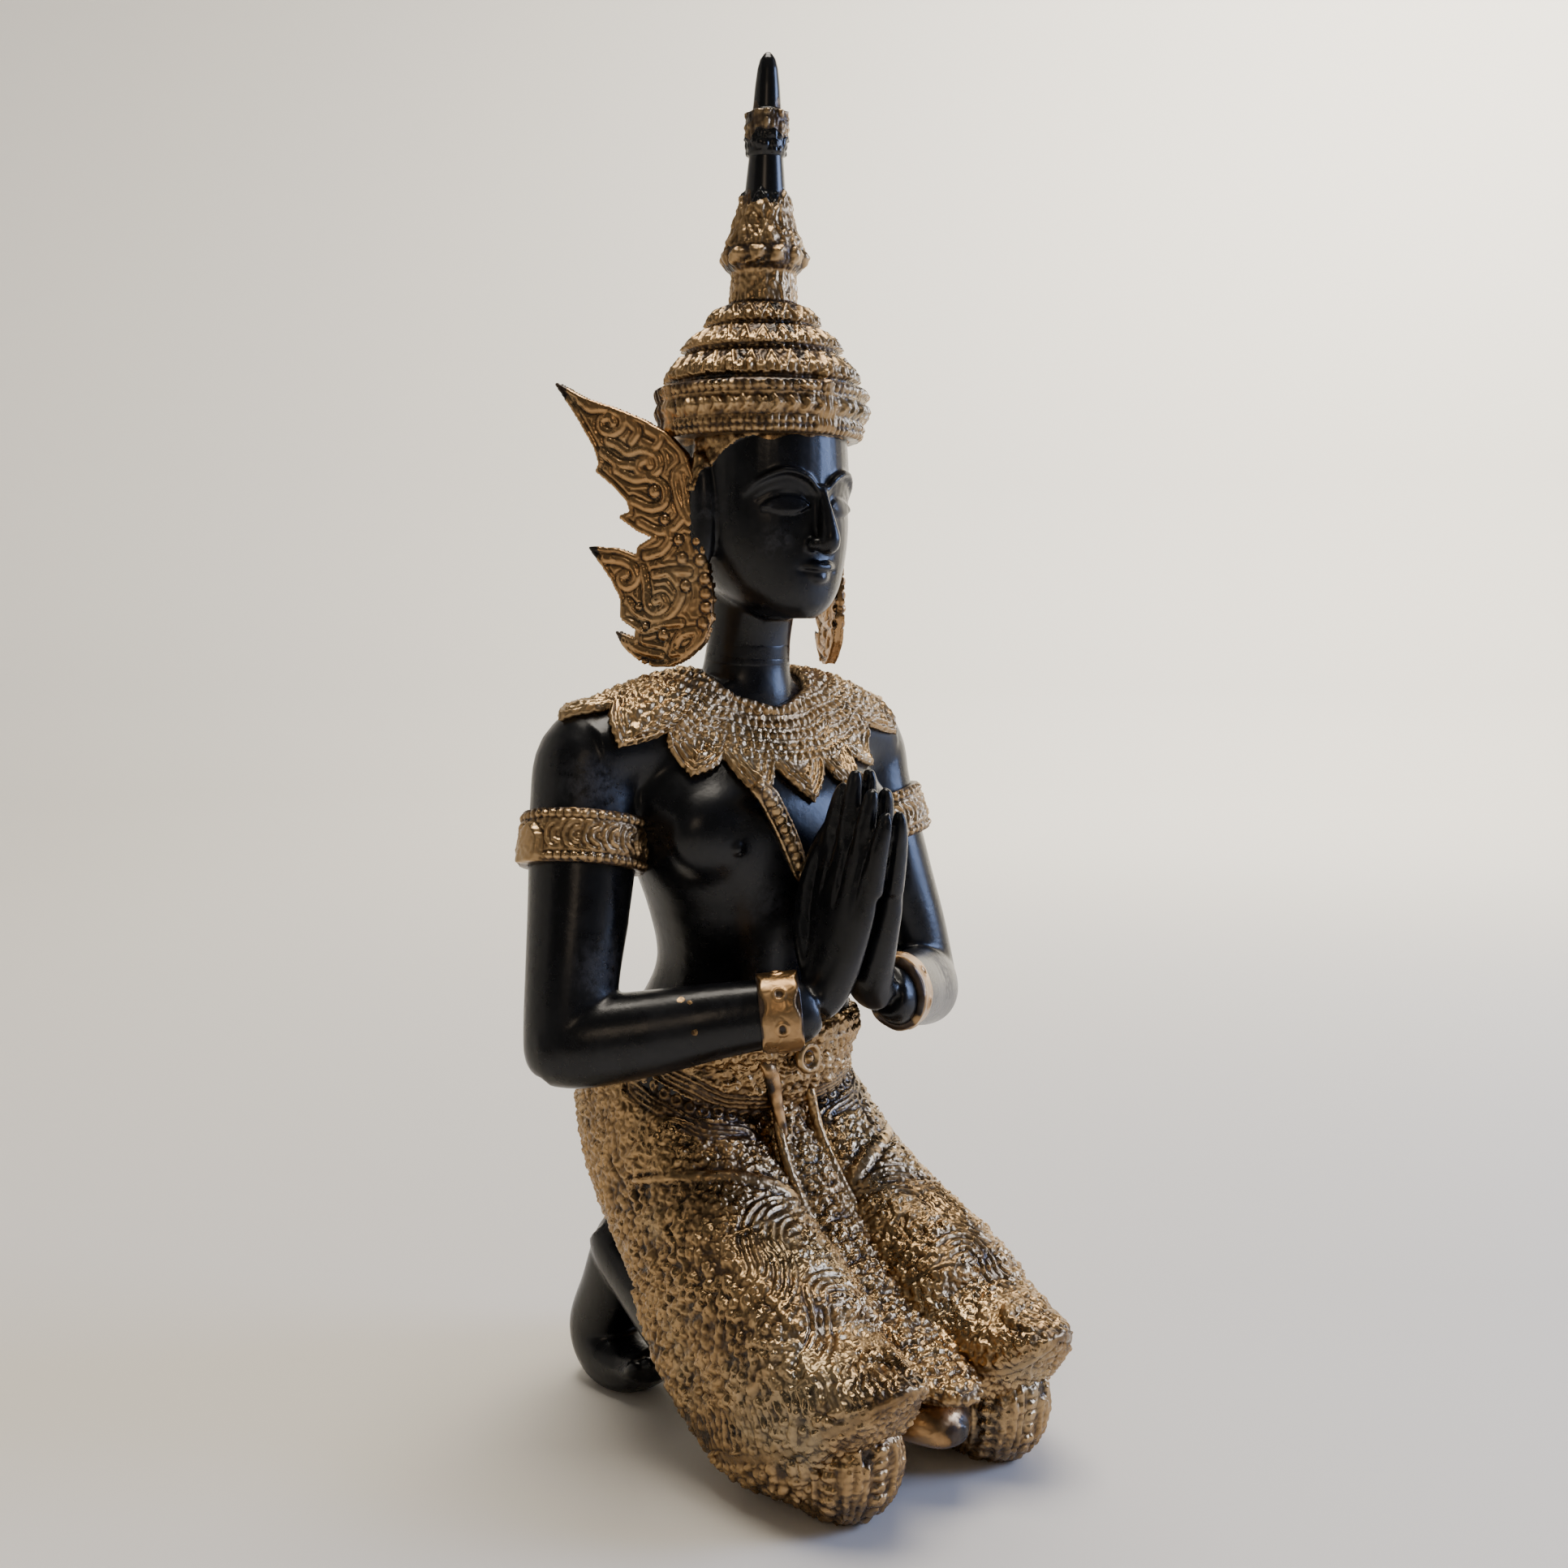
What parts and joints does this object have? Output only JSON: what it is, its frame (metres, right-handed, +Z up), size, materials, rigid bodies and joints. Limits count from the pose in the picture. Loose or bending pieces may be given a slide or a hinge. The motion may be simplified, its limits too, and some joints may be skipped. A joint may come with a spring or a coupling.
{
  "type": "kneeling angel statue",
  "caption": "Kneeling thepphanom angel in black lacquer and worn gold leaf, palms pressed together, with a tall spired crown, ear wings, a leafy collar and a patterned skirt.",
  "frame": {"origin": "centre of the bounding box, on the surface that the knees and feet stand on", "axes": "+Z up, the figure faces -Y, and its own right hand is at -X"},
  "size_m": [0.1348, 0.1345, 0.34],
  "materials": {
    "lacquered_bronze": "glossy black lacquer on the skin, worn gold leaf over relief on the crown, collar, armlets, bracelets and skirt",
    "gilt_bronze": "worn gold leaf with dark recesses"
  },
  "bodies": {
    "root": {"figure": "lacquered_bronze", "right_ear_wing": "gilt_bronze", "left_ear_wing": "gilt_bronze"}
  },
  "joints": []
}
